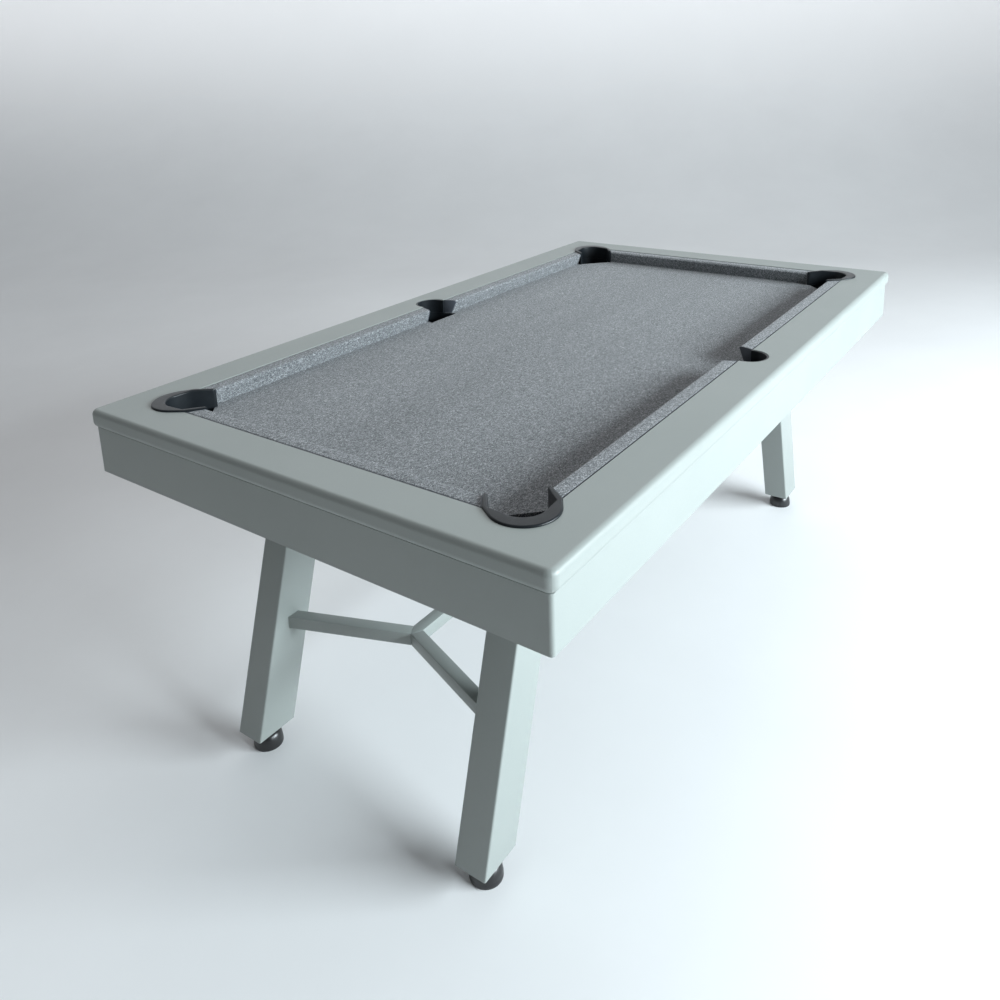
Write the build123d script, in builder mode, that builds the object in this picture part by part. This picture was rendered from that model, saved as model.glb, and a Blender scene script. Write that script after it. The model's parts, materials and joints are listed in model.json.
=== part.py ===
"""A seven-foot outdoor pool table: metal rails and apron, slate bed, splayed legs and levelling feet.

X runs along the table and -X is the near end. Y runs across it and +Y is the left side. The origin is
on the floor under the middle of the table. All sizes are in millimetres.
"""

import math
import os

from build123d import *

os.makedirs("parts", exist_ok=True)

ENDS = {"near": -1, "far": 1}
SIDES = {"left": 1, "right": -1}

# Whole table
TABLE_LENGTH = 2134.0
TABLE_WIDTH = 1219.0
TABLE_HEIGHT = 862.0

# Playing area, measured between the cushion noses
PLAY_LENGTH = 1848.0
PLAY_WIDTH = 924.0
NOSE_X = PLAY_LENGTH / 2
NOSE_Y = PLAY_WIDTH / 2

# Rails
RAIL_HEIGHT = 42.0
RAIL_WALL = 4.0
RAIL_OUTER_WALL = 8.0
RAIL_FLOOR = 8.0
RAIL_CORNER = 18.0
RAIL_TOP_ROUND = 12.0
RAIL_LOWER_ROUND = 14.0
RAIL_SETBACK = 41.0
MITRE_REACH = 200.0
MITRE_SPARE = 20.0

# Apron under the rails
APRON_DEPTH = 107.0
APRON_INSET = 8.0
APRON_SHEET = 3.0
APRON_FLANGE = 25.0
APRON_CORNER = 8.0

# Cushions
CUSHION_BACK = 38.0
CUSHION_TOP_DROP = 0.5
NOSE_HEIGHT = 37.0
NOSE_ROUND = 5.0
CUSHION_FOOT = 16.0
CUSHION_CLOTH = 1.0
BACKING_HEIGHT = 26.0
FACING = 3.4

# Pockets: distances along the rail from the nose corner or pocket centre, and outwards from the nose line
CORNER_CENTRE = (-5.0, 5.0)
CORNER_RADIUS = 64.0
CORNER_TIP = (84.0, 0.0)
CORNER_SHOULDER = (57.0, RAIL_SETBACK)
CORNER_INNER_CENTRE = (2.0, -2.0)
CORNER_INNER_RADIUS = 43.0
CORNER_INNER_TIP = (75.0, 0.0)
CORNER_INNER_SHOULDER = (45.0, 37.0)
SIDE_CENTRE = (0.0, 48.0)
SIDE_RADIUS = 48.0
SIDE_TIP = (63.0, 0.0)
SIDE_SHOULDER = (49.0, RAIL_SETBACK)
SIDE_INNER_RADIUS = 43.0
SIDE_INNER_TIP = (58.0, 0.0)
SIDE_INNER_SHOULDER = (44.0, RAIL_SETBACK)
LINER_RISE = 4.0
LINER_ROUND = 3.5
SIDE_LINER_DROP = 1.0
NOTCH_GAP = 0.5
CUP_BORE_GAP = 1.0
CUP_WALL = 4.0
CUP_FLANGE = 12.0
CUP_DEPTH = 79.0

# Bed
CLOTH_THICKNESS = 1.0
SLATE_THICKNESS = 19.0
SLATE_LENGTH = 2060.0
SLATE_WIDTH = 1145.0
SLATE_JOINT_X = SLATE_LENGTH / 6

# Steel frame under the slate
BEAM = 60.0
BEAM_WALL = 4.0
BEAM_Y = 328.0
END_BEAM = 30.0
END_BEAM_X = 1010.0
END_BEAM_LENGTH = 1120.0
PLATE_LENGTH = 170.0
PLATE_WIDTH = 110.0
PLATE_THICKNESS = 8.0

# Legs
LEG_DEPTH = 102.0
LEG_WIDTH = 76.0
LEG_WALL = 3.0
LEG_CORNER = 4.0
LEG_SPLAY = 16.5
LEG_FOOT_X = 900.0
LEG_CLEARANCE = 50.0
PLUG_HEIGHT = 8.0
BOSS_RADIUS = 14.0
BOSS_HEIGHT = 40.0

# Levelling feet
PAD_RADIUS = 35.0
PAD_HEIGHT = 38.0
PAD_RIM = 10.0
PAD_NECK = 22.0
SOCKET_FLOOR = 12.0
STEM_RADIUS = 8.0
STEM_LENGTH = 88.0
STEM_CHAMFER = 1.0
COLLAR_RADIUS = 14.0
SEAT_GAP = 0.2
RUNNING_GAP = 0.06

# Stretcher
TUBE = 30.0
TUBE_WALL = 2.0
STRETCHER_Z = 305.0
JUNCTION_X = 711.0
ARM_FOOT_X = 820.0

# Fasteners
RAIL_BOLT_RADIUS = 4.0
RAIL_BOLT_HEAD = 7.5
RAIL_BOLT_REACH = 6.0
BOLT_HEAD_HEIGHT = 6.0
BOLT_CLEARANCE = 0.5
SIDE_BOLT_OUT = 86.0
END_BOLT_OUT = 62.0
LEG_BOLT_RADIUS = 5.0
LEG_BOLT_HEAD = 9.0
LEG_BOLT_X = 68.0
LEG_BOLT_Y = 18.0
WELD_NUT_RADIUS = 10.0
WELD_NUT_HEIGHT = 10.0

# Heights that follow
RAIL_Z = TABLE_HEIGHT - RAIL_HEIGHT
APRON_Z = RAIL_Z - APRON_DEPTH
SLATE_Z = RAIL_Z - CLOTH_THICKNESS - SLATE_THICKNESS
BEAM_Z = SLATE_Z - BEAM
PLATE_Z = BEAM_Z - PLATE_THICKNESS
LEG_LEAN = math.tan(math.radians(LEG_SPLAY))
LEG_HEAD_X = LEG_FOOT_X - (PLATE_Z - LEG_CLEARANCE) * LEG_LEAN
ARM_LEAN = (ARM_FOOT_X - JUNCTION_X) / (BEAM_Y - LEG_WIDTH / 2)
ARM_HALF = TUBE / 2 * math.hypot(1, ARM_LEAN)


def finish(piece, name):
    """Labels a finished piece and writes its file."""
    piece.part.label = name
    export_step(piece.part, f"parts/{name}.step")


def at_corner(end, side):
    """Places a corner pocket's points, measured from the corner of the nose lines."""
    return lambda point: (end * (NOSE_X - point[0]), side * (NOSE_Y + point[1]))


def at_side(side):
    """Places a side pocket's points, measured from the middle of the nose line."""
    return lambda point: (point[0], side * (NOSE_Y + point[1]))


def across_corner(point):
    """The matching point on the other arm of a corner pocket."""
    return (-point[1], -point[0])


def across_side(point):
    """The matching point on the other arm of a side pocket."""
    return (-point[0], point[1])


def touch_point(start, centre, radius):
    """Where a straight line from start runs into the round back of a pocket."""
    gap = Vector(*start) - Vector(*centre)
    angle = math.atan2(gap.Y, gap.X) + math.acos(radius / gap.length)
    return (centre[0] + radius * math.cos(angle), centre[1] + radius * math.sin(angle))


def horseshoe(place, across, centre, radius, tip, shoulder):
    """Draws a pocket's outline: up one facing, round the back and down the other."""
    touch = touch_point(shoulder, centre, radius)
    other = across(touch)
    middle = (Vector(*touch) + Vector(*other)) / 2
    outwards = (middle - Vector(*centre)).normalized()
    crown = Vector(*centre) + outwards * radius
    Polyline(place(tip), place(shoulder), place(touch))
    ThreePointArc(place(touch), place((crown.X, crown.Y)), place(other))
    Polyline(place(other), place(across(shoulder)), place(across(tip)))


def corner_mouth(end, side, centre, radius, tip, shoulder):
    """Draws a corner pocket's horseshoe, closed straight across its mouth."""
    place = at_corner(end, side)
    horseshoe(place, across_corner, centre, radius, tip, shoulder)
    Line(place(across_corner(tip)), place(tip))


def side_mouth(side, centre, radius, tip, shoulder):
    """Draws a side pocket's horseshoe, closed straight across its mouth."""
    place = at_side(side)
    horseshoe(place, across_side, centre, radius, tip, shoulder)
    Line(place(across_side(tip)), place(tip))


CORNER_OUTER = (CORNER_CENTRE, CORNER_RADIUS, CORNER_TIP, CORNER_SHOULDER)
CORNER_INNER = (CORNER_INNER_CENTRE, CORNER_INNER_RADIUS, CORNER_INNER_TIP, CORNER_INNER_SHOULDER)
SIDE_OUTER = (SIDE_CENTRE, SIDE_RADIUS, SIDE_TIP, SIDE_SHOULDER)
SIDE_INNER = (SIDE_CENTRE, SIDE_INNER_RADIUS, SIDE_INNER_TIP, SIDE_INNER_SHOULDER)


def mitre_zone(across, along, half_across, half_along):
    """The plan of one rail or apron member, with 45 degree mitres at its ends."""
    outer = half_along + MITRE_SPARE
    inner = half_along - MITRE_REACH
    corners = [
        (half_across + MITRE_SPARE, -outer),
        (half_across + MITRE_SPARE, outer),
        (half_across - MITRE_REACH, inner),
        (half_across - MITRE_REACH, -inner),
    ]
    if along == "x":
        return [(run, across * out) for out, run in corners]
    return [(across * out, run) for out, run in corners]


MEMBERS = {
    "left": mitre_zone(1, "x", TABLE_WIDTH / 2, TABLE_LENGTH / 2),
    "right": mitre_zone(-1, "x", TABLE_WIDTH / 2, TABLE_LENGTH / 2),
    "near": mitre_zone(-1, "y", TABLE_LENGTH / 2, TABLE_WIDTH / 2),
    "far": mitre_zone(1, "y", TABLE_LENGTH / 2, TABLE_WIDTH / 2),
}
MEMBER_KIND = {"left": "side", "right": "side", "near": "end", "far": "end"}

# Bolts that hold the rails down through the slate
SIDE_BOLT_RUNS = [170.0, 430.0, 700.0]
END_BOLT_RUNS = [0.0, 280.0]
CORNER_SIGNS = [(end, side) for end in (-1, 1) for side in (-1, 1)]
SIDE_BOLT_Y = NOSE_Y + SIDE_BOLT_OUT
END_BOLT_X = NOSE_X + END_BOLT_OUT
SIDE_BOLTS = {(end * run, side * SIDE_BOLT_Y) for run in SIDE_BOLT_RUNS for end, side in CORNER_SIGNS}
END_BOLTS = {(end * END_BOLT_X, side * run) for run in END_BOLT_RUNS for end, side in CORNER_SIGNS}
RAIL_BOLTS = sorted(SIDE_BOLTS | END_BOLTS)

CORNERS = {f"{end}_{side}": (ENDS[end], SIDES[side]) for end in ENDS for side in SIDES}

# One hole through the bed for each pocket, by the pocket's name
POCKET_HOLES = {}
for name, (end, side) in CORNERS.items():
    with BuildSketch() as hole:
        with BuildLine():
            corner_mouth(end, side, *CORNER_INNER)
        make_face()
    POCKET_HOLES[name] = hole.sketch
for side in SIDES:
    with BuildSketch() as hole:
        with BuildLine():
            side_mouth(SIDES[side], *SIDE_INNER)
        make_face()
    POCKET_HOLES[f"middle_{side}"] = hole.sketch

# Pocket holes and bolt holes through the slate and its cloth
with BuildSketch(Plane.XY.offset(SLATE_Z)) as bed_holes:
    for hole in POCKET_HOLES.values():
        add(hole)
    with Locations(*RAIL_BOLTS):
        Circle(RAIL_BOLT_RADIUS + BOLT_CLEARANCE)

# ---------------------------------------------------------------- rails
with BuildPart() as rail_frame:
    with BuildSketch(Plane.XY.offset(RAIL_Z)):
        RectangleRounded(TABLE_LENGTH, TABLE_WIDTH, RAIL_CORNER)
    extrude(amount=RAIL_HEIGHT)
    fillet(rail_frame.faces().sort_by(Axis.Z)[-1].edges(), RAIL_TOP_ROUND)
    fillet(rail_frame.faces().sort_by(Axis.Z)[0].edges(), RAIL_LOWER_ROUND)
    with BuildSketch(Plane.XY.offset(RAIL_Z)):
        Rectangle(PLAY_LENGTH + 2 * RAIL_SETBACK, PLAY_WIDTH + 2 * RAIL_SETBACK)
    extrude(amount=RAIL_HEIGHT, mode=Mode.SUBTRACT)
    with BuildSketch(Plane.XY.offset(RAIL_Z + RAIL_FLOOR)):
        Rectangle(TABLE_LENGTH - 2 * RAIL_OUTER_WALL, TABLE_WIDTH - 2 * RAIL_OUTER_WALL)
        Rectangle(
            PLAY_LENGTH + 2 * (RAIL_SETBACK + RAIL_WALL),
            PLAY_WIDTH + 2 * (RAIL_SETBACK + RAIL_WALL),
            mode=Mode.SUBTRACT,
        )
    extrude(amount=RAIL_HEIGHT - RAIL_FLOOR - RAIL_WALL, mode=Mode.SUBTRACT)
    with BuildSketch(Plane.XY.offset(RAIL_Z)):
        for end, side in CORNERS.values():
            with BuildLine():
                corner_mouth(end, side, *CORNER_OUTER)
            make_face()
        for side in SIDES.values():
            with BuildLine():
                side_mouth(side, *SIDE_OUTER)
            make_face()
        offset(amount=NOTCH_GAP)
    extrude(amount=RAIL_HEIGHT, mode=Mode.SUBTRACT)
    with BuildSketch(Plane.XY.offset(RAIL_Z)):
        with Locations(*RAIL_BOLTS):
            Circle(RAIL_BOLT_RADIUS)
    extrude(amount=RAIL_FLOOR, mode=Mode.SUBTRACT)

for member, zone in MEMBERS.items():
    with BuildPart() as rail:
        add(rail_frame.part)
        with BuildSketch(Plane.XY.offset(RAIL_Z)):
            Polygon(*zone, align=None)
        extrude(amount=RAIL_HEIGHT, mode=Mode.INTERSECT)
    finish(rail, f"{MEMBER_KIND[member]}_rail_{member}")

# ---------------------------------------------------------------- apron
with BuildPart() as apron_frame:
    apron_length = TABLE_LENGTH - 2 * APRON_INSET
    apron_width = TABLE_WIDTH - 2 * APRON_INSET
    with BuildSketch(Plane.XY.offset(APRON_Z)):
        RectangleRounded(apron_length, apron_width, APRON_CORNER)
        Rectangle(apron_length - 2 * APRON_FLANGE, apron_width - 2 * APRON_FLANGE, mode=Mode.SUBTRACT)
    extrude(amount=APRON_DEPTH)
    with BuildSketch(Plane.XY.offset(APRON_Z + APRON_SHEET)):
        RectangleRounded(
            apron_length - 2 * APRON_SHEET, apron_width - 2 * APRON_SHEET, APRON_CORNER - APRON_SHEET
        )
    extrude(amount=APRON_DEPTH - 2 * APRON_SHEET, mode=Mode.SUBTRACT)

for member, zone in MEMBERS.items():
    with BuildPart() as apron:
        add(apron_frame.part)
        with BuildSketch(Plane.XY.offset(APRON_Z)):
            Polygon(*zone, align=None)
        extrude(amount=APRON_DEPTH, mode=Mode.INTERSECT)
    finish(apron, f"{MEMBER_KIND[member]}_apron_{member}")

# ---------------------------------------------------------------- bed
SLATE_CUTS = {"near": -SLATE_LENGTH / 3, "middle": 0.0, "far": SLATE_LENGTH / 3}
for name, middle in SLATE_CUTS.items():
    with BuildPart() as slate:
        with BuildSketch(Plane.XY.offset(SLATE_Z)):
            with Locations((middle, 0)):
                Rectangle(SLATE_LENGTH / 3, SLATE_WIDTH)
        extrude(amount=SLATE_THICKNESS)
        extrude(bed_holes.sketch, amount=SLATE_THICKNESS, mode=Mode.SUBTRACT)
    finish(slate, f"slate_{name}")

with BuildPart() as bed_cloth:
    with BuildSketch(Plane.XY.offset(RAIL_Z - CLOTH_THICKNESS)):
        Rectangle(SLATE_LENGTH, SLATE_WIDTH)
    extrude(amount=CLOTH_THICKNESS)
    extrude(bed_holes.sketch, amount=SLATE_THICKNESS + CLOTH_THICKNESS, mode=Mode.SUBTRACT)
finish(bed_cloth, "bed_cloth")

# ---------------------------------------------------------------- cushions
CLOTH_SECTION = [
    (0.0, NOSE_HEIGHT),
    (NOSE_ROUND, RAIL_HEIGHT - CUSHION_TOP_DROP),
    (CUSHION_BACK, RAIL_HEIGHT - CUSHION_TOP_DROP),
    (CUSHION_BACK, 0.0),
    (CUSHION_FOOT, 0.0),
]
CORE_SECTION = [
    (CUSHION_CLOTH, NOSE_HEIGHT),
    (NOSE_ROUND + CUSHION_CLOTH, RAIL_HEIGHT - CUSHION_TOP_DROP - CUSHION_CLOTH),
    (CUSHION_BACK, RAIL_HEIGHT - CUSHION_TOP_DROP - CUSHION_CLOTH),
    (CUSHION_BACK, BACKING_HEIGHT),
    (RAIL_SETBACK, BACKING_HEIGHT),
    (RAIL_SETBACK, CUSHION_CLOTH),
    (CUSHION_FOOT + CUSHION_CLOTH, CUSHION_CLOTH),
]


def side_span(end, inset):
    """The plan of one side cushion, cut back by the inset from its facing lines."""
    nose = (SIDE_TIP[0] + inset, NOSE_X - CORNER_TIP[0] - inset)
    back = (SIDE_SHOULDER[0] + inset, NOSE_X - CORNER_SHOULDER[0] - inset)
    return [
        (end * nose[0], 0),
        (end * nose[1], 0),
        (end * back[1], RAIL_SETBACK),
        (end * back[0], RAIL_SETBACK),
    ]


def end_span(inset):
    """The plan of an end cushion, cut back by the inset from its facing lines."""
    nose = NOSE_Y - CORNER_TIP[0] - inset
    back = NOSE_Y - CORNER_SHOULDER[0] - inset
    return [(-nose, 0), (nose, 0), (back, RAIL_SETBACK), (-back, RAIL_SETBACK)]


def cushion_length(kind, sign, span, section):
    """A length of cushion section, cut off in plan by the facing lines."""
    nose = NOSE_Y if kind == "side" else NOSE_X
    outline = [(run, sign * (nose + out)) for run, out in span]
    if kind == "end":
        outline = [(out, run) for run, out in outline]
    with BuildPart() as length:
        with BuildSketch(Plane.XY.offset(RAIL_Z)):
            Polygon(*outline, align=None)
        extrude(amount=RAIL_HEIGHT)
        with BuildSketch(Plane.YZ if kind == "side" else Plane.XZ):
            Polygon(*[(sign * (nose + out), RAIL_Z + up) for out, up in section], align=None)
        extrude(amount=TABLE_LENGTH / 2, both=True, mode=Mode.INTERSECT)
    return length.part


# Each cushion: its kind, the side of the table it is on, and its plan for a given inset
CUSHIONS = {
    name: ("side", side, [side_span(end, inset) for inset in (0, FACING, FACING + CUSHION_CLOTH)])
    for name, (end, side) in CORNERS.items()
}
for end in ENDS:
    CUSHIONS[end] = ("end", ENDS[end], [end_span(inset) for inset in (0, FACING, FACING + CUSHION_CLOTH)])

CORES = {"side": [], "end": []}
FACING_SLIPS = []
for name, (kind, sign, (bare, span, core_span)) in CUSHIONS.items():
    body = cushion_length(kind, sign, span, CLOTH_SECTION)
    core = cushion_length(kind, sign, core_span, CORE_SECTION)
    CORES[kind].append(core)
    with BuildPart() as cushion_cloth:
        add(body)
        add(core, mode=Mode.SUBTRACT)
    finish(cushion_cloth, f"cushion_cloth_{name}")
    for nose, back in ((0, 3), (1, 2)):
        slip = [bare[nose], span[nose], span[back], bare[back]]
        FACING_SLIPS.append(cushion_length(kind, sign, slip, CLOTH_SECTION))

for kind, lengths in CORES.items():
    with BuildPart() as cores:
        add(lengths)
    finish(cores, f"{kind}_cushion_cores")

with BuildPart() as facings:
    add(FACING_SLIPS)
finish(facings, "cushion_facings")

# ---------------------------------------------------------------- pockets
for name, (end, side) in CORNERS.items():
    place = at_corner(end, side)
    with BuildPart() as liner:
        with BuildSketch(Plane.XY.offset(RAIL_Z)):
            with BuildLine():
                horseshoe(place, across_corner, *CORNER_OUTER)
                horseshoe(place, across_corner, *CORNER_INNER)
                Line(place(CORNER_TIP), place(CORNER_INNER_TIP))
                Line(place(across_corner(CORNER_TIP)), place(across_corner(CORNER_INNER_TIP)))
            make_face()
        extrude(amount=RAIL_HEIGHT + LINER_RISE)
        fillet(liner.faces().sort_by(Axis.Z)[-1].edges(), LINER_ROUND)
    finish(liner, f"pocket_liner_{name}")

for side in SIDES:
    place = at_side(SIDES[side])
    with BuildPart() as liner:
        with BuildSketch(Plane.XY.offset(RAIL_Z)):
            with BuildLine():
                horseshoe(place, across_side, *SIDE_OUTER)
                horseshoe(place, across_side, *SIDE_INNER)
                Line(place(SIDE_TIP), place(SIDE_INNER_TIP))
                Line(place(across_side(SIDE_TIP)), place(across_side(SIDE_INNER_TIP)))
            make_face()
        extrude(amount=RAIL_HEIGHT - SIDE_LINER_DROP)
        with BuildSketch(Plane.XY.offset(RAIL_Z)):
            Rectangle(PLAY_LENGTH, PLAY_WIDTH + 2 * RAIL_SETBACK)
        extrude(amount=RAIL_HEIGHT, mode=Mode.SUBTRACT)
    finish(liner, f"pocket_liner_middle_{side}")

for name, hole in POCKET_HOLES.items():
    with BuildPart() as cup:
        with BuildSketch(Plane.XY.offset(SLATE_Z - CUP_DEPTH)):
            add(hole)
            offset(amount=CUP_BORE_GAP + CUP_WALL)
        extrude(amount=CUP_DEPTH)
        with BuildSketch(Plane.XY.offset(SLATE_Z - CUP_WALL)):
            add(hole)
            offset(amount=CUP_FLANGE)
        extrude(amount=CUP_WALL)
        with BuildSketch(Plane.XY.offset(SLATE_Z - CUP_DEPTH + CUP_WALL)):
            add(hole)
            offset(amount=CUP_BORE_GAP)
        extrude(amount=CUP_DEPTH, mode=Mode.SUBTRACT)
    finish(cup, f"pocket_cup_{name}")

# ---------------------------------------------------------------- steel frame
BEAM_LENGTH = 2 * END_BEAM_X - END_BEAM
LEG_BOLTS = [
    (end * (LEG_HEAD_X + dx), side * (BEAM_Y + dy))
    for end, side in CORNER_SIGNS
    for dx in (-LEG_BOLT_X, LEG_BOLT_X)
    for dy in (-LEG_BOLT_Y, LEG_BOLT_Y)
]
for side in SIDES:
    bolts_here = [spot for spot in LEG_BOLTS if spot[1] * SIDES[side] > 0]
    with BuildPart() as beam:
        with BuildSketch(Plane.YZ.offset(-BEAM_LENGTH / 2)):
            with Locations((SIDES[side] * BEAM_Y, BEAM_Z + BEAM / 2)):
                Rectangle(BEAM, BEAM)
                Rectangle(BEAM - 2 * BEAM_WALL, BEAM - 2 * BEAM_WALL, mode=Mode.SUBTRACT)
        extrude(amount=BEAM_LENGTH)
        with BuildSketch(Plane.XY.offset(BEAM_Z)):
            with Locations(*bolts_here):
                Circle(WELD_NUT_RADIUS)
        extrude(amount=BEAM_WALL + WELD_NUT_HEIGHT)
        with BuildSketch(Plane.XY.offset(BEAM_Z)):
            with Locations(*bolts_here):
                Circle(LEG_BOLT_RADIUS)
        extrude(amount=BEAM_WALL + WELD_NUT_HEIGHT, mode=Mode.SUBTRACT)
    finish(beam, f"frame_beam_{side}")

# Cross beams over the legs and under the joints between the slate pieces
CROSS_BEAM_X = [-LEG_HEAD_X, -SLATE_JOINT_X, SLATE_JOINT_X, LEG_HEAD_X]
with BuildPart() as cross_beams:
    with BuildSketch(Plane.XZ.offset(-(BEAM_Y - BEAM / 2))):
        with Locations(*[(x, BEAM_Z + BEAM / 2) for x in CROSS_BEAM_X]):
            Rectangle(BEAM, BEAM)
            Rectangle(BEAM - 2 * BEAM_WALL, BEAM - 2 * BEAM_WALL, mode=Mode.SUBTRACT)
    extrude(amount=2 * BEAM_Y - BEAM)
finish(cross_beams, "cross_beams")

for end in ENDS:
    with BuildPart() as end_beam:
        with BuildSketch(Plane.XZ.offset(-END_BEAM_LENGTH / 2)):
            with Locations((ENDS[end] * END_BEAM_X, BEAM_Z + BEAM / 2)):
                Rectangle(END_BEAM, BEAM)
                Rectangle(END_BEAM - 2 * APRON_SHEET, BEAM - 2 * APRON_SHEET, mode=Mode.SUBTRACT)
        extrude(amount=END_BEAM_LENGTH)
    finish(end_beam, f"end_beam_{end}")

# ---------------------------------------------------------------- legs
with BuildPart() as leg_plates:
    for end, side in CORNERS.values():
        with BuildSketch(Plane.XY.offset(PLATE_Z)):
            with Locations((end * LEG_HEAD_X, side * BEAM_Y)):
                Rectangle(PLATE_LENGTH, PLATE_WIDTH)
        extrude(amount=PLATE_THICKNESS)
    with BuildSketch(Plane.XY.offset(PLATE_Z)):
        with Locations(*LEG_BOLTS):
            Circle(LEG_BOLT_RADIUS + BOLT_CLEARANCE)
    extrude(amount=PLATE_THICKNESS, mode=Mode.SUBTRACT)
finish(leg_plates, "leg_plates")

LEG_SLOPE = math.hypot(1, LEG_LEAN)
for name, (end, side) in CORNERS.items():
    up_the_leg = Vector(-end * LEG_LEAN, 0, 1).normalized()
    with BuildPart() as leg:
        with BuildSketch(Plane.XY.offset(LEG_CLEARANCE)):
            with Locations((end * LEG_FOOT_X, side * BEAM_Y)):
                RectangleRounded(LEG_DEPTH * LEG_SLOPE, LEG_WIDTH, LEG_CORNER)
                Rectangle(LEG_DEPTH * LEG_SLOPE - 2 * LEG_WALL, LEG_WIDTH - 2 * LEG_WALL, mode=Mode.SUBTRACT)
        extrude(amount=(PLATE_Z - LEG_CLEARANCE) * LEG_SLOPE, dir=up_the_leg)
    finish(leg, f"leg_{name}")

with BuildPart() as leg_plugs:
    for end, side in CORNERS.values():
        foot = (end * LEG_FOOT_X, side * BEAM_Y)
        with BuildSketch(Plane.XY.offset(LEG_CLEARANCE)):
            with Locations(foot):
                Rectangle(LEG_DEPTH * LEG_SLOPE - 2 * LEG_WALL, LEG_WIDTH - 2 * LEG_WALL)
        extrude(amount=PLUG_HEIGHT * LEG_SLOPE, dir=Vector(-end * LEG_LEAN, 0, 1).normalized())
        with BuildSketch(Plane.XY.offset(LEG_CLEARANCE)):
            with Locations(foot):
                Circle(BOSS_RADIUS)
        extrude(amount=BOSS_HEIGHT)
        with BuildSketch(Plane.XY.offset(LEG_CLEARANCE)):
            with Locations(foot):
                Circle(STEM_RADIUS + RUNNING_GAP)
        extrude(amount=BOSS_HEIGHT, mode=Mode.SUBTRACT)
finish(leg_plugs, "leg_plugs")

# ---------------------------------------------------------------- levelling feet
for name, (end, side) in CORNERS.items():
    foot = (end * LEG_FOOT_X, side * BEAM_Y)
    with BuildPart() as pad:
        with BuildSketch(Plane.XZ.offset(-foot[1])):
            with BuildLine():
                Polyline(
                    (foot[0] + PAD_NECK, PAD_HEIGHT),
                    (foot[0], PAD_HEIGHT),
                    (foot[0], 0),
                    (foot[0] + PAD_RADIUS, 0),
                    (foot[0] + PAD_RADIUS, PAD_RIM),
                )
                RadiusArc((foot[0] + PAD_NECK, PAD_HEIGHT), (foot[0] + PAD_RADIUS, PAD_RIM), PAD_RADIUS)
            make_face()
        revolve(axis=Axis((*foot, 0), (0, 0, 1)))
        with BuildSketch(Plane.XY.offset(SOCKET_FLOOR)):
            with Locations(foot):
                Circle(STEM_RADIUS + RUNNING_GAP)
        extrude(amount=PAD_HEIGHT, mode=Mode.SUBTRACT)
    finish(pad, f"foot_pad_{name}")

    with BuildPart() as stem:
        with BuildSketch(Plane.XY.offset(SOCKET_FLOOR + SEAT_GAP)):
            with Locations(foot):
                Circle(STEM_RADIUS)
        extrude(amount=STEM_LENGTH)
        chamfer(stem.edges().sort_by(Axis.Z)[-1], STEM_CHAMFER)
        with BuildSketch(Plane.XY.offset(PAD_HEIGHT + SEAT_GAP)):
            with Locations(foot):
                RegularPolygon(COLLAR_RADIUS, 6)
        extrude(amount=LEG_CLEARANCE - PAD_HEIGHT - SEAT_GAP)
    finish(stem, f"foot_stem_{name}")

# ---------------------------------------------------------------- stretcher
def arm_x(out, edge):
    """Where an arm's outer (+1) or inner (-1) edge lies, as a distance from the middle of the table."""
    return JUNCTION_X + edge * ARM_HALF + out * ARM_LEAN


def arm_plan(end, side, points):
    """An arm's plan from its distances across the table and its edges."""
    return [(end * arm_x(out, edge), side * out) for out, edge in points]


ARM_END = BEAM_Y - LEG_WIDTH / 2
BORE_EDGE = 1 - 2 * TUBE_WALL / TUBE
ARM_POINTS = [(0, 1), (TUBE / 2, -1), (ARM_END, -1), (ARM_END, 1)]
BORE_POINTS = [
    (-TUBE, BORE_EDGE),
    (-TUBE, -BORE_EDGE),
    (ARM_END + TUBE, -BORE_EDGE),
    (ARM_END + TUBE, BORE_EDGE),
]
for name, (end, side) in CORNERS.items():
    with BuildPart() as arm:
        with BuildSketch(Plane.XY.offset(STRETCHER_Z - TUBE / 2)):
            Polygon(*arm_plan(end, side, ARM_POINTS), align=None)
        extrude(amount=TUBE)
        with BuildSketch(Plane.XY.offset(STRETCHER_Z - TUBE / 2 + TUBE_WALL)):
            Polygon(*arm_plan(end, side, BORE_POINTS), align=None)
        extrude(amount=TUBE - 2 * TUBE_WALL, mode=Mode.SUBTRACT)
    finish(arm, f"stretcher_arm_{name}")

with BuildPart() as stretcher_bar:
    notch_x = arm_x(0, 1)
    flank_x = arm_x(TUBE / 2, -1)
    half = TUBE / 2
    with BuildSketch(Plane.XY.offset(STRETCHER_Z - half)):
        Polygon(
            (-notch_x, 0),
            (-flank_x, -half),
            (flank_x, -half),
            (notch_x, 0),
            (flank_x, half),
            (-flank_x, half),
            align=None,
        )
    extrude(amount=TUBE)
    with BuildSketch(Plane.YZ.offset(-notch_x)):
        with Locations((0, STRETCHER_Z)):
            Rectangle(TUBE - 2 * TUBE_WALL, TUBE - 2 * TUBE_WALL)
    extrude(amount=2 * notch_x, mode=Mode.SUBTRACT)
finish(stretcher_bar, "stretcher_bar")

# ---------------------------------------------------------------- fasteners
with BuildPart() as rail_bolts:
    with BuildSketch(Plane.XY.offset(SLATE_Z - BOLT_HEAD_HEIGHT)):
        with Locations(*RAIL_BOLTS):
            RegularPolygon(RAIL_BOLT_HEAD, 6)
    extrude(amount=BOLT_HEAD_HEIGHT)
    with BuildSketch(Plane.XY.offset(SLATE_Z)):
        with Locations(*RAIL_BOLTS):
            Circle(RAIL_BOLT_RADIUS)
    extrude(amount=SLATE_THICKNESS + CLOTH_THICKNESS + RAIL_BOLT_REACH)
finish(rail_bolts, "rail_bolts")

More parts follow.
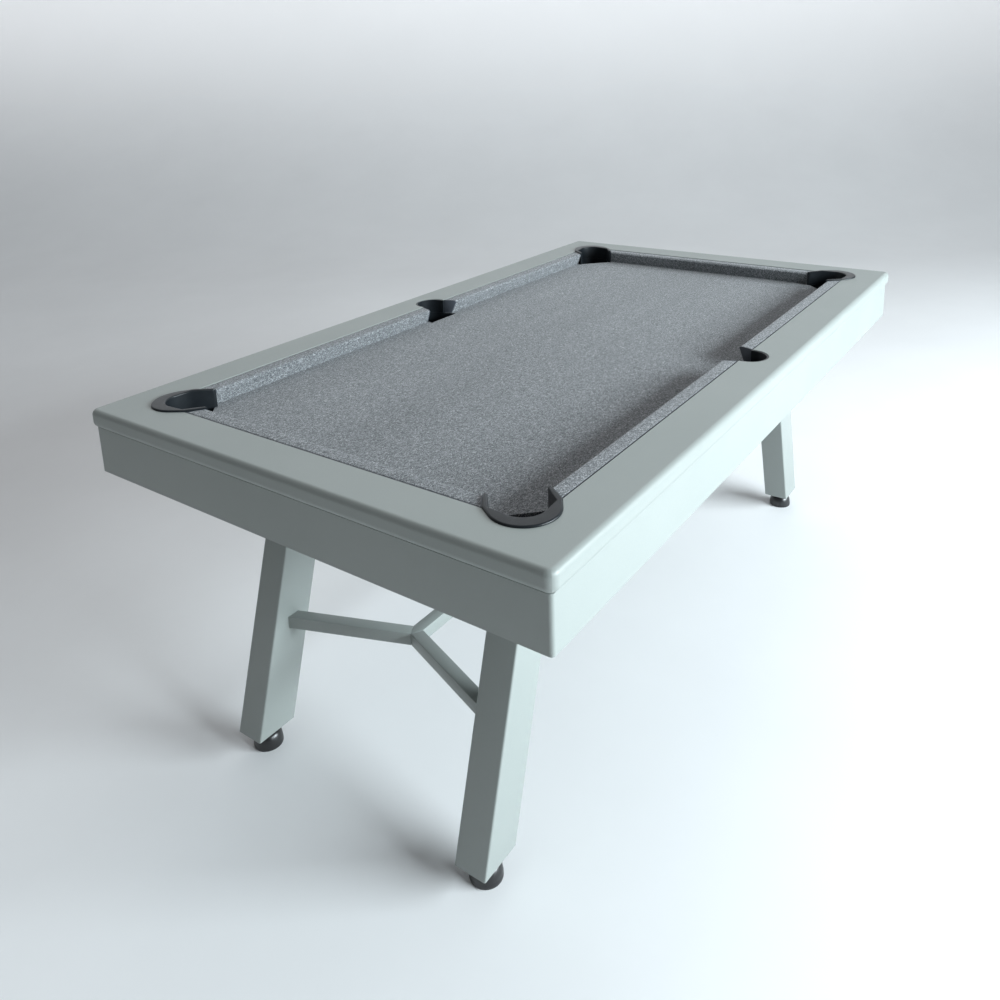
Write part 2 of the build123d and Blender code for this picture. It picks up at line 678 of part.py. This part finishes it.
with BuildPart() as leg_bolts:
    with BuildSketch(Plane.XY.offset(PLATE_Z - BOLT_HEAD_HEIGHT)):
        with Locations(*LEG_BOLTS):
            RegularPolygon(LEG_BOLT_HEAD, 6)
    extrude(amount=BOLT_HEAD_HEIGHT)
    with BuildSketch(Plane.XY.offset(PLATE_Z)):
        with Locations(*LEG_BOLTS):
            Circle(LEG_BOLT_RADIUS)
    extrude(amount=PLATE_THICKNESS + BEAM_WALL + WELD_NUT_HEIGHT)
finish(leg_bolts, "leg_bolts")
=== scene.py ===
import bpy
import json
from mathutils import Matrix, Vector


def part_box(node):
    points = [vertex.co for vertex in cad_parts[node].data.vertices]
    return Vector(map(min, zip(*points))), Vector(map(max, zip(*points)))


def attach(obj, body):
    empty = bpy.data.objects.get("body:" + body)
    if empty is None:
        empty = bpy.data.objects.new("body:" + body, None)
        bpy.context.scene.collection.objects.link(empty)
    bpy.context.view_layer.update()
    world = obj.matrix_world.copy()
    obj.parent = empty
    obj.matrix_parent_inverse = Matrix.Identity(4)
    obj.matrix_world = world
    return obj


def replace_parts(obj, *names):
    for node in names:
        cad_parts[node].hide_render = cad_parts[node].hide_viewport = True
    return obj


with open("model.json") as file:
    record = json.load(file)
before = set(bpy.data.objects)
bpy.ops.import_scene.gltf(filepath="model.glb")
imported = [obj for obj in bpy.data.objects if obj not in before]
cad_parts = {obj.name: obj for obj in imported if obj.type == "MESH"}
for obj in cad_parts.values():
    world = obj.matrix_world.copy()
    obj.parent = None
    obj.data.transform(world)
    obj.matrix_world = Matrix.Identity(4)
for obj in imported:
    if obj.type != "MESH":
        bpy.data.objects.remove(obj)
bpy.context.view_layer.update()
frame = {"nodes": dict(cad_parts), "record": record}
import json
import math

import bmesh
import bpy
from mathutils import Matrix, Vector

nodes = frame["nodes"]
corners = ["near_left", "near_right", "far_left", "far_right"]
scene = bpy.context.scene


# ---------------------------------------------------------------- materials
class Paint:
    """A principled material built from a few procedural textures in object space."""

    def __init__(self, name, roughness=0.5, metallic=0.0, **extra):
        self.mat = bpy.data.materials.new(name)
        self.mat.use_nodes = True
        self.tree = self.mat.node_tree
        self.bsdf = self.tree.nodes["Principled BSDF"]
        self.bsdf.inputs["Roughness"].default_value = roughness
        self.bsdf.inputs["Metallic"].default_value = metallic
        for key, value in extra.items():
            self.bsdf.inputs[key.replace("_", " ")].default_value = value
        self.where = self.node("ShaderNodeTexCoord").outputs["Object"]

    def node(self, kind, props=None, **inputs):
        made = self.tree.nodes.new(kind)
        for key, value in (props or {}).items():
            setattr(made, key, value)
        for key, value in inputs.items():
            by_number = key[0] == "i" and key[1:].isdigit()
            spot = made.inputs[int(key[1:]) if by_number else key.replace("_", " ")]
            if isinstance(value, bpy.types.NodeSocket):
                self.tree.links.new(value, spot)
            else:
                spot.default_value = value
        return made

    def stretch(self, scale, turn=(0, 0, 0)):
        return self.node("ShaderNodeMapping", Vector=self.where, Scale=scale, Rotation=turn).outputs[0]

    def noise(self, scale, detail=2.0, rough=0.5, vector=None, bend=0.0):
        made = self.node("ShaderNodeTexNoise", Vector=vector or self.where, Scale=scale, Detail=detail,
                         Roughness=rough, Distortion=bend)
        return made.outputs[0]

    def ramp(self, value, *stops):
        made = self.node("ShaderNodeValToRGB", Fac=value)
        bar = made.color_ramp
        while len(bar.elements) < len(stops):
            bar.elements.new(0.5)
        for element, (place, colour) in zip(bar.elements, stops):
            element.position = place
            element.color = (*colour, 1) if len(colour) == 3 else (colour[0],) * 3 + (1,)
        return made.outputs[0]

    def mix(self, how, fac, a, b):
        made = self.node("ShaderNodeMix", {"data_type": "RGBA", "blend_type": how}, i0=fac)
        for spot, value in ((made.inputs[6], a), (made.inputs[7], b)):
            if isinstance(value, bpy.types.NodeSocket):
                self.tree.links.new(value, spot)
            else:
                spot.default_value = (*value, 1)
        return made.outputs[2]

    def span(self, value, low, high):
        return self.node("ShaderNodeMapRange", Value=value, To_Min=low, To_Max=high).outputs[0]

    def sum(self, a, b):
        return self.node("ShaderNodeMath", {"operation": "ADD"}, i0=a, i1=b).outputs[0]

    def colour(self, value):
        self.tree.links.new(value, self.bsdf.inputs["Base Color"])

    def rough(self, value):
        self.tree.links.new(value, self.bsdf.inputs["Roughness"])

    def bump(self, height, depth, strength=1.0):
        made = self.node("ShaderNodeBump", Height=height, Distance=depth, Strength=strength)
        self.tree.links.new(made.outputs[0], self.bsdf.inputs["Normal"])


def powder_coat():
    p = Paint("powder_coat")
    tone = p.ramp(p.noise(2.2, 3, 0.6), (0.3, (0.272, 0.298, 0.284)), (0.7, (0.290, 0.314, 0.300)))
    speck = p.ramp(p.noise(900, 1, 0.5), (0.30, (0.86,)), (0.42, (1.0,)))
    p.colour(p.mix("MULTIPLY", 0.5, tone, speck))
    p.rough(p.span(p.noise(7, 4, 0.6), 0.34, 0.46))
    peel = p.sum(p.noise(420, 2, 0.5), p.noise(1500, 1, 0.5))
    p.bump(peel, 0.00012, 0.35)
    return p.mat


def speckled_cloth(name="speckled_cloth", shade=1.0):
    p = Paint(name, roughness=0.92, Sheen_Weight=0.15, Sheen_Roughness=0.5, Specular_IOR_Level=0.25)
    grain = p.noise(210, 2.2, 0.6, p.stretch((1.0, 1.5, 1.3), (0.2, 0.1, 0.5)), 1.6)
    fine = p.noise(1100, 2, 0.6)
    tones = ((0.37, (0.075, 0.082, 0.090)), (0.47, (0.160, 0.170, 0.180)), (0.55, (0.27, 0.28, 0.29)),
             (0.66, (0.52, 0.535, 0.55)))
    worms = p.ramp(grain, *[(place, tuple(c * shade for c in colour)) for place, colour in tones])
    salt = p.ramp(fine, (0.35, (0.75,)), (0.65, (1.2,)))
    speckle = p.mix("MULTIPLY", 0.8, worms, salt)
    streak = p.ramp(p.noise(2.4, 4, 0.6, p.stretch((0.3, 2.2, 2.2))), (0.35, (0.90,)), (0.65, (1.06,)))
    p.colour(p.mix("MULTIPLY", 1.0, speckle, streak))
    p.bump(p.sum(grain, fine), 0.0006, 0.6)
    return p.mat


def rubber():
    p = Paint("cushion_rubber", Specular_IOR_Level=0.45)
    p.colour(p.ramp(p.noise(30, 4, 0.6), (0.3, (0.060, 0.068, 0.082)), (0.7, (0.090, 0.100, 0.118))))
    p.rough(p.span(p.noise(60, 3, 0.6), 0.42, 0.6))
    p.bump(p.noise(1400, 2, 0.5), 0.0001, 0.4)
    return p.mat


def slate():
    p = Paint("slate", roughness=0.8)
    beds = p.noise(14, 6, 0.65, p.stretch((1, 1, 9)), 0.6)
    tones = ((0.3, (0.085, 0.092, 0.100)), (0.55, (0.15, 0.158, 0.166)), (0.75, (0.24, 0.245, 0.25)))
    p.colour(p.ramp(beds, *tones))
    p.bump(p.sum(beds, p.noise(500, 3, 0.6)), 0.0006, 0.4)
    return p.mat


def pocket_plastic():
    p = Paint("pocket_plastic", Specular_IOR_Level=0.28)
    p.colour(p.ramp(p.noise(18, 4, 0.6), (0.3, (0.008, 0.010, 0.012)), (0.7, (0.014, 0.017, 0.020))))
    p.rough(p.span(p.noise(45, 4, 0.65), 0.24, 0.36))
    p.bump(p.noise(1900, 2, 0.6), 0.00008, 0.45)
    return p.mat


def foot_plastic():
    p = Paint("foot_plastic", Specular_IOR_Level=0.75)
    p.colour(p.ramp(p.noise(40, 3, 0.6), (0.3, (0.004, 0.004, 0.005)), (0.7, (0.008, 0.008, 0.009))))
    p.rough(p.span(p.noise(70, 4, 0.7), 0.26, 0.38))
    p.bump(p.noise(900, 2, 0.5), 0.00005, 0.3)
    return p.mat


def steel():
    p = Paint("steel", metallic=1.0)
    lines = p.noise(260, 4, 0.7, p.stretch((1, 1, 0.05)))
    p.colour(p.ramp(lines, (0.3, (0.42, 0.425, 0.43)), (0.7, (0.60, 0.605, 0.61))))
    p.rough(p.span(lines, 0.26, 0.42))
    p.bump(lines, 0.00006, 0.4)
    return p.mat


def floor_paint():
    """Pale paint that glows faintly where the floor has turned up into the backdrop."""
    p = Paint("floor", roughness=0.85, Emission_Color=(0.95, 0.97, 1.0, 1))
    height = p.node("ShaderNodeSeparateXYZ", Vector=p.where).outputs[2]
    glow = p.node("ShaderNodeMapRange", {"interpolation_type": "SMOOTHSTEP"}, Value=height, From_Min=0.0,
                  From_Max=3.0, To_Min=0.0, To_Max=0.45).outputs[0]
    p.tree.links.new(glow, p.bsdf.inputs["Emission Strength"])
    p.colour(p.ramp(p.noise(1.5, 4, 0.6), (0.3, (0.80, 0.80, 0.80)), (0.7, (0.83, 0.83, 0.83))))
    return p.mat


# The bed's cloth is a darker copy of the cushions' cloth: painted shade, standing in for the shade the bed
# lies in under the low side light
BED_PAINTED_SHADE = speckled_cloth("bed_cloth_painted_shade", 0.83)
paints = {
    "powder_coat": powder_coat(),
    # The cushions' copy of the same cloth, lighter than the bed's copy with its painted shade
    "speckled_cloth": speckled_cloth(shade=0.88),
    "cushion_rubber": rubber(),
    "slate": slate(),
    "pocket_plastic": pocket_plastic(),
    "foot_plastic": foot_plastic(),
    "steel": steel(),
}
slot_of = {part["node"]: part["material_slot"] for part in frame["record"]["subparts"]}


def smooth(obj, angle=32):
    """Smooth shading with hard edges kept hard."""
    bpy.context.view_layer.objects.active = obj
    for other in bpy.context.selected_objects:
        other.select_set(False)
    obj.select_set(True)
    bpy.ops.object.shade_smooth_by_angle(angle=math.radians(angle))


for name, obj in nodes.items():
    obj.data.materials.clear()
    obj.data.materials.append(paints[slot_of[name]])


def piece(name, bm, body, slot, angle=32):
    """Makes a named piece from a bmesh, gives it its paint and lets it ride its body."""
    mesh = bpy.data.meshes.new(name)
    bm.to_mesh(mesh)
    bm.free()
    obj = bpy.data.objects.new(name, mesh)
    scene.collection.objects.link(obj)
    mesh.materials.append(paints[slot])
    smooth(obj, angle)
    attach(obj, body)
    return obj


def from_cad(node):
    """A clean copy of a CAD node's mesh: welded, with flat faces whole."""
    bm = bmesh.new()
    bm.from_mesh(nodes[node].data)
    bmesh.ops.remove_doubles(bm, verts=bm.verts, dist=1e-5)
    bmesh.ops.dissolve_limit(bm, angle_limit=math.radians(0.6), verts=bm.verts, edges=bm.edges)
    return bm


def sharp_edges(bm, angle):
    return [e for e in bm.edges if len(e.link_faces) == 2 and e.calc_face_angle(0) > math.radians(angle)]


def softened(node, width, segments, angle):
    """A copy of a CAD node with its sharp edges rounded off a little."""
    bm = from_cad(node)
    bmesh.ops.bevel(bm, geom=sharp_edges(bm, angle), offset=width, offset_type="OFFSET",
                    segments=segments, profile=0.5, affect="EDGES", clamp_overlap=True)
    bmesh.ops.recalc_face_normals(bm, faces=bm.faces)
    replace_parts(piece(node + "_visual", bm, "table", slot_of[node]), node)


# ---------------------------------------------------------------- bed cloth
bed_lo, bed_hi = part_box("bed_cloth")
cups = {name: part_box("pocket_cup_" + name) for name in corners + ["middle_left", "middle_right"]}
cup_middles = {name: (a + b) / 2 for name, (a, b) in cups.items()}
# Steps of the cloth over a pocket's mouth: towards the pocket's middle, and up
LIP_STEPS = [(0.0006, -0.0002), (0.0008, -0.0006), (0.0003, -0.016)]
# How far past the least reach a rim's point may lie and still be on the mouth
NEARLY = 0.0015


def pocket_of(point):
    return min(cup_middles, key=lambda name: (cup_middles[name].xy - point.xy).length)


def pocket_middle(point):
    best = cup_middles[pocket_of(point)]
    return Vector((best.x, best.y, point.z))


def reach_out(name, point):
    """How far out a point of a pocket's rim lies: the mouth is where this is least."""
    return abs(point.y) if name.startswith("middle") else abs(point.x) + abs(point.y)


def on_pocket_rim(edge):
    middle = (edge.verts[0].co + edge.verts[1].co) / 2
    inside = abs(middle.x) < bed_hi.x - 0.002 and abs(middle.y) < bed_hi.y - 0.002
    over_cup = any(a.x - 0.001 < middle.x < b.x + 0.001 and a.y - 0.001 < middle.y < b.y + 0.001
                   for a, b in cups.values())
    return edge.is_boundary and inside and over_cup


def put_in_order(elements, place):
    """Orders points or faces by place, since an extrusion makes them in a different order each run."""
    rank = {element: number for number, element in enumerate(sorted(elements, key=place))}
    elements.sort(key=rank.get)


def bed_cloth():
    """The top face of the bed cloth, turned down at each pocket's mouth. Returns the rims' backs."""
    bm = from_cad("bed_cloth")
    below = [f for f in bm.faces if f.normal.z < 0.9 or f.calc_center_median().z < bed_hi.z - 1e-4]
    bmesh.ops.delete(bm, geom=below, context="FACES")
    rims = [edge for edge in bm.edges if on_pocket_rim(edge)]
    mouths, backs = [], {name: [] for name in cups}
    for name in cups:
        mine = [e for e in rims if pocket_of((e.verts[0].co + e.verts[1].co) / 2) == name]
        least = min(reach_out(name, v.co) for e in mine for v in e.verts) + NEARLY
        for e in mine:
            if max(reach_out(name, v.co) for v in e.verts) < least:
                mouths.append(e)
            else:
                backs[name].append([v.co.copy() for v in e.verts])
    rims = mouths
    for out, up in LIP_STEPS:
        grown = bmesh.ops.extrude_edge_only(bm, edges=rims)
        rims = [e for e in grown["geom"] if isinstance(e, bmesh.types.BMEdge)]
        for v in {v for e in rims for v in e.verts}:
            away = pocket_middle(v.co) - v.co
            away.z = 0
            v.co += away.normalized() * out
            v.co.z += up
    bmesh.ops.recalc_face_normals(bm, faces=bm.faces)
    put_in_order(bm.verts, lambda v: v.co.to_tuple(6))
    put_in_order(bm.faces, lambda f: f.calc_center_median().to_tuple(6))
    obj = piece("bed_cloth_visual", bm, "table", "speckled_cloth", 8)
    # The bed's top takes the darker copy of the cloth, whose colour holds painted shade
    obj.data.materials[0] = BED_PAINTED_SHADE
    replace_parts(obj, "bed_cloth")
    return backs


# A liner's skirt: its gap to the hole's wall, its own wall, and its ends from the top of the bed cloth
SKIRT_GAP = 0.0003
SKIRT_WALL = 0.0014
SKIRT_TOP = 0.001
SKIRT_BOTTOM = -0.024
# A side liner's lips: how far from the pocket's middle they start and end
LIP_START = 0.0446
LIP_END = 0.0555
LIP_FREE = 0.0002


def add_lips(bm, name):
    """Two upright lips that close the gap between the cushion backs and the rail."""
    a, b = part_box("pocket_liner_" + name)
    side = 1 if a.y + b.y > 0 else -1
    cushion_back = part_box("cushion_cloth_far_left")[1].y + LIP_FREE
    rail_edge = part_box("side_rail_left")[0].y - LIP_FREE
    low, high = a.z + LIP_FREE, b.z - 0.001
    size = Matrix.Diagonal((LIP_END - LIP_START, rail_edge - cushion_back, high - low, 1))
    for end in (-1, 1):
        middle = (end * (LIP_START + LIP_END) / 2, side * (cushion_back + rail_edge) / 2, (low + high) / 2)
        bmesh.ops.create_cube(bm, size=1, matrix=Matrix.Translation(middle) @ size)


def liner_skirt(name, edges):
    """The pocket liner, with the thin skirt that runs down through the slate into the cup."""
    section = [(SKIRT_GAP, SKIRT_TOP), (SKIRT_GAP, SKIRT_BOTTOM),
               (SKIRT_GAP + SKIRT_WALL, SKIRT_BOTTOM), (SKIRT_GAP + SKIRT_WALL, SKIRT_TOP)]
    bm = bmesh.new()
    for ends in edges:
        rows = []
        for inset, up in section:
            row = []
            for co in ends:
                away = pocket_middle(co) - co
                away.z = 0
                spot = co + away.normalized() * inset
                row.append(bm.verts.new((spot.x, spot.y, bed_hi.z + up)))
            rows.append(row)
        for one, two in zip(rows, rows[1:] + rows[:1]):
            bm.faces.new((one[0], one[1], two[1], two[0]))
    bmesh.ops.remove_doubles(bm, verts=bm.verts, dist=1e-6)
    bmesh.ops.holes_fill(bm, edges=[e for e in bm.edges if e.is_boundary], sides=4)
    bm.from_mesh(nodes["pocket_liner_" + name].data)
    bmesh.ops.remove_doubles(bm, verts=bm.verts, dist=1e-6)
    if name.startswith("middle"):
        add_lips(bm, name)
    bmesh.ops.recalc_face_normals(bm, faces=bm.faces)
    obj = piece("pocket_liner_" + name + "_visual", bm, "table", "pocket_plastic")
    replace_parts(obj, "pocket_liner_" + name)


for name, edges in bed_cloth().items():
    liner_skirt(name, edges)


# ---------------------------------------------------------------- cushions
def rounded(points, steps=6):
    """A polyline through (across, up, radius) points with its corners rounded."""
    path = []
    for i, (x, y, radius) in enumerate(points):
        here = Vector((x, y))
        if radius == 0 or i in (0, len(points) - 1):
            path.append(here)
            continue
        back = (Vector(points[i - 1][:2]) - here).normalized()
        on = (Vector(points[i + 1][:2]) - here).normalized()
        half = back.angle(on) / 2
        reach = radius / math.tan(half)
        for k in range(steps + 1):
            t = k / steps
            a, b = here + back * reach, here + on * reach
            path.append(a * (1 - t) ** 2 + here * 2 * t * (1 - t) + b * t ** 2)
    return path


# How many strips a cushion's cloth has along its length, and what its flat size adds for the folds
CUSHION_STRIPS = 160
GIRTH_SPARE = 0.004
LENGTH_SPARE = 0.06


def cushion_cloth(name):
    """The cloth over one cushion: up the undercut face, round the nose and back over the top."""
    node = "cushion_cloth_" + name
    a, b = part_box(node)
    run_axis = 1 if name in ("near", "far") else 0
    out_axis = 1 - run_axis
    side = 1 if (a + b)[out_axis] > 0 else -1
    nose = min(abs(a[out_axis]), abs(b[out_axis]))
    back = max(abs(a[out_axis]), abs(b[out_axis]))
    spots = [v.co for v in nodes[node].data.vertices]
    at_nose = [v[run_axis] for v in spots if abs(abs(v[out_axis]) - nose) < 5e-4]
    at_back = [v[run_axis] for v in spots if abs(abs(v[out_axis]) - back) < 5e-4]
    top = b.z - a.z
    depth = back - nose
    section = rounded([
        # distance out from the nose, height over the cloth's underside, rounding radius
        (0.016, 0.0, 0),
        (0.0018, top - 0.0088, 0.0022),
        (0.0, top - 0.0046, 0.0022),
        (0.0052, top - 0.0002, 0.006),
        (0.020, top, 0.02),
        (depth - 0.0025, top - 0.0002, 0.0015),
        (depth, top - 0.0026, 0.0015),
        (depth, top * 0.35, 0),
    ])
    bm = bmesh.new()
    rows = []
    for s in range(CUSHION_STRIPS + 1):
        t = s / CUSHION_STRIPS
        row = []
        for p in section:
            near = min(at_nose) + (min(at_back) - min(at_nose)) * p.x / depth
            far = max(at_nose) + (max(at_back) - max(at_nose)) * p.x / depth
            co = [0.0, 0.0, a.z + p.y]
            co[run_axis] = near + (far - near) * t
            co[out_axis] = side * (nose + p.x)
            row.append(bm.verts.new(co))
        rows.append(row)
    for one, two in zip(rows, rows[1:]):
        for i in range(len(section) - 1):
            bm.faces.new((one[i], one[i + 1], two[i + 1], two[i]))
    for row in (rows[0], rows[-1]):
        cap = bm.faces.new(row)
        cap.smooth = False
    bmesh.ops.recalc_face_normals(bm, faces=bm.faces)
    obj = piece(node + "_visual", bm, "table", "speckled_cloth", 40)
    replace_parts(obj, node)
    area = sum(f.area for f in obj.data.polygons)
    girth = sum((q - p).length for p, q in zip(section, section[1:])) + GIRTH_SPARE
    length = max(at_back) - min(at_back) + LENGTH_SPARE
    area = min(area, girth * length)


for name in ["near", "far"] + corners:
    cushion_cloth(name)


# ---------------------------------------------------------------- levelling feet
def spun(bm, profile, middle, sides=96):
    """Turns a profile of (radius, height) round an upright axis."""
    rings = []
    for radius, height in profile:
        if radius < 1e-6:
            rings.append([bm.verts.new((middle.x, middle.y, height))])
            continue
        ring = []
        for k in range(sides):
            turn = 2 * math.pi * k / sides
            across, along = radius * math.cos(turn), radius * math.sin(turn)
            ring.append(bm.verts.new((middle.x + across, middle.y + along, height)))
        rings.append(ring)
    for one, two in zip(rings, rings[1:]):
        for k in range(sides):
            j = (k + 1) % sides
            if len(one) == 1:
                bm.faces.new((one[0], two[j], two[k]))
            elif len(two) == 1:
                bm.faces.new((one[k], one[j], two[0]))
            else:
                bm.faces.new((one[k], one[j], two[j], two[k]))


def foot_pad(corner):
    """A domed pad with a round socket for its stem and a shallow recess underneath."""
    a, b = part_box("foot_pad_" + corner)
    middle = (a + b) / 2
    outer = (b.x - a.x) / 2
    top = b.z
    rim, neck, floor_of_socket = 0.0098, 0.0205, 0.0118
    dome = [(outer - 0.0018, 0.0), (outer - 0.0004, 0.0008), (outer, 0.0022), (outer, rim - 0.0012)]
    for k in range(13):
        turn = math.radians(90 * k / 12)
        radius = neck + (outer - 0.0004 - neck) * math.cos(turn)
        dome.append((radius, rim + (top - 0.0012 - rim) * math.sin(turn)))
    profile = [(0.0, 0.002), (outer - 0.009, 0.002), (outer - 0.008, 0.0)] + dome
    profile += [(0.0190, top - 0.0004), (0.0178, top), (0.0096, top), (0.0086, top - 0.001)]
    profile += [(0.0086, floor_of_socket), (0.0, floor_of_socket)]
    bm = bmesh.new()
    spun(bm, profile, middle)
    bmesh.ops.recalc_face_normals(bm, faces=bm.faces)
    obj = piece("foot_pad_" + corner + "_visual", bm, "foot_" + corner, "foot_plastic", 30)
    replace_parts(obj, "foot_pad_" + corner)


def foot_stem(corner):
    """The stem with its thread, which has a 2 mm pitch, and its spanner collar."""
    a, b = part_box("foot_stem_" + corner)
    middle = (a + b) / 2
    crest, root, pitch, sides = 0.008, 0.0069, 0.002, 48
    pad_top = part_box("foot_pad_" + corner)[1].z
    plug_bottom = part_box("leg_plugs")[0].z
    bm = bmesh.new()
    shank = [(0.0, a.z), (0.0072, a.z), (0.0079, a.z + 0.0007), (0.0079, plug_bottom), (0.0, plug_bottom)]
    spun(bm, shank, middle)
    start, end = plug_bottom - 0.001, b.z - 0.0012
    steps = int((end - start) / pitch * sides)
    levels = [(root, 0.0), (root, 0.15), (crest, 0.45), (crest, 0.6), (root, 0.9)]
    previous = None
    for k in range(steps + 1):
        turn = 2 * math.pi * k / sides
        height = start + pitch * k / sides
        row = []
        for radius, up in levels + [(root, 1.0)]:
            z = min(height + pitch * up, end)
            across, along = radius * math.cos(turn), radius * math.sin(turn)
            row.append(bm.verts.new((middle.x + across, middle.y + along, z)))
        if previous:
            for i in range(len(row) - 1):
                bm.faces.new((previous[i], row[i], row[i + 1], previous[i + 1]))
        previous = row
    spun(bm, [(root, end - 0.003), (root, end), (root - 0.0006, b.z), (0.0, b.z)], middle)
    hexagon = []
    reach, edge = 0.014, 0.0006
    collar = [(reach - edge, pad_top + 0.0002), (reach, pad_top + 0.0002 + edge),
              (reach, plug_bottom - edge), (reach - edge, plug_bottom)]
    for radius, z in collar:
        hexagon.append([bm.verts.new((middle.x + radius * math.cos(math.pi * k / 3),
                                      middle.y + radius * math.sin(math.pi * k / 3), z)) for k in range(6)])
    for one, two in zip(hexagon, hexagon[1:]):
        for k in range(6):
            j = (k + 1) % 6
            bm.faces.new((one[k], one[j], two[j], two[k]))
    bm.faces.new(hexagon[0])
    bm.faces.new(hexagon[-1])
    bmesh.ops.remove_doubles(bm, verts=bm.verts, dist=1e-6)
    bmesh.ops.recalc_face_normals(bm, faces=bm.faces)
    obj = piece("foot_stem_" + corner + "_visual", bm, "stem_" + corner, "steel", 30)
    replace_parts(obj, "foot_stem_" + corner)


for corner in corners:
    foot_pad(corner)
    foot_stem(corner)

# ---------------------------------------------------------------- metalwork and trim
# Each node's edge radius, its steps, and the angle over which an edge counts as sharp
EDGES = {"stretcher_bar": (0.0016, 3, 60), "leg_plates": (0.0008, 2, 60), "leg_plugs": (0.0008, 2, 60),
         "leg_bolts": (0.0006, 2, 50), "rail_bolts": (0.0006, 2, 50), "cushion_facings": (0.0006, 2, 50)}
for corner in corners:
    softened("leg_" + corner, 0.0012, 3, 60)
    softened("stretcher_arm_" + corner, 0.0016, 3, 60)
for name, how in EDGES.items():
    softened(name, *how)
for name, obj in nodes.items():
    if not obj.hide_render:
        smooth(obj)

# ---------------------------------------------------------------- stage, light and camera
# The floor runs back along the line of sight and sweeps up into a backdrop
FLOOR_BACK = 4.5
FLOOR_SWEEP = 4.5
FLOOR_FRONT = -14.0
FLOOR_HALF_WIDTH = 16.0
FLOOR_STEPS = 24
WALL_TOP = 12.0
SIGHT = math.radians(35.3)
reach = [(FLOOR_FRONT, 0.0), (FLOOR_BACK, 0.0)]
for k in range(1, FLOOR_STEPS + 1):
    turn = math.radians(90 * k / FLOOR_STEPS)
    reach.append((FLOOR_BACK + FLOOR_SWEEP * math.sin(turn), FLOOR_SWEEP * (1 - math.cos(turn))))
reach.append((FLOOR_BACK + FLOOR_SWEEP, WALL_TOP))
floor_mesh = bmesh.new()
edges = []
for along, up in reach:
    edges.append([floor_mesh.verts.new((along * math.cos(SIGHT) - across * math.sin(SIGHT),
                                        along * math.sin(SIGHT) + across * math.cos(SIGHT), up))
                  for across in (-FLOOR_HALF_WIDTH, FLOOR_HALF_WIDTH)])
for one, two in zip(edges, edges[1:]):
    floor_mesh.faces.new((one[0], two[0], two[1], one[1])).smooth = True
mesh = bpy.data.meshes.new("floor")
floor_mesh.to_mesh(mesh)
floor_mesh.free()
floor = bpy.data.objects.new("floor", mesh)
scene.collection.objects.link(floor)
mesh.materials.append(floor_paint())

world = bpy.data.worlds.new("world")
scene.world = world
world.use_nodes = True
world.node_tree.nodes["Background"].inputs["Color"].default_value = (0.93, 0.96, 1.0, 1)
world.node_tree.nodes["Background"].inputs["Strength"].default_value = 0.22


def light(name, place, aim, size, power, colour=(1, 1, 1)):
    data = bpy.data.lights.new(name, "AREA")
    data.shape = "RECTANGLE"
    data.size, data.size_y = size
    data.energy = power
    data.color = colour
    obj = bpy.data.objects.new(name, data)
    scene.collection.objects.link(obj)
    obj.location = place
    obj.rotation_euler = (Vector(aim) - Vector(place)).to_track_quat("-Z", "Y").to_euler()


light("key", (0.9, -5.2, 2.3), (0.0, 0.0, 0.5), (4.6, 1.6), 720, (0.84, 0.945, 1.0))
light("top", (0.8, 1.0, 4.4), (0.0, 0.0, 0.8), (3.5, 3.5), 36)

scene.view_settings.view_transform = "Standard"
camera_data = bpy.data.cameras.new("camera")
camera = bpy.data.objects.new("camera", camera_data)
scene.collection.objects.link(camera)
scene.camera = camera
CAMERA_AT = Vector((-2.0107, -1.2179, 1.5754))
CAMERA_AIM = Vector((0.3650, 0.4644, 0.8620))
CAMERA_ROLL = 0.031113
forward = (CAMERA_AIM - CAMERA_AT).normalized()
right = forward.cross(Vector((0, 0, 1))).normalized()
down = forward.cross(right).normalized()
turned_right = right * math.cos(CAMERA_ROLL) + down * math.sin(CAMERA_ROLL)
turned_down = down * math.cos(CAMERA_ROLL) - right * math.sin(CAMERA_ROLL)
stand = Matrix((turned_right, -turned_down, -forward)).transposed().to_4x4()
stand.translation = CAMERA_AT
camera.matrix_world = stand
camera_data.sensor_width = 36.0
camera_data.lens = 0.87406 * 36.0
camera_data.shift_x = -0.010
camera_data.shift_y = -0.220
camera_data.clip_end = 60
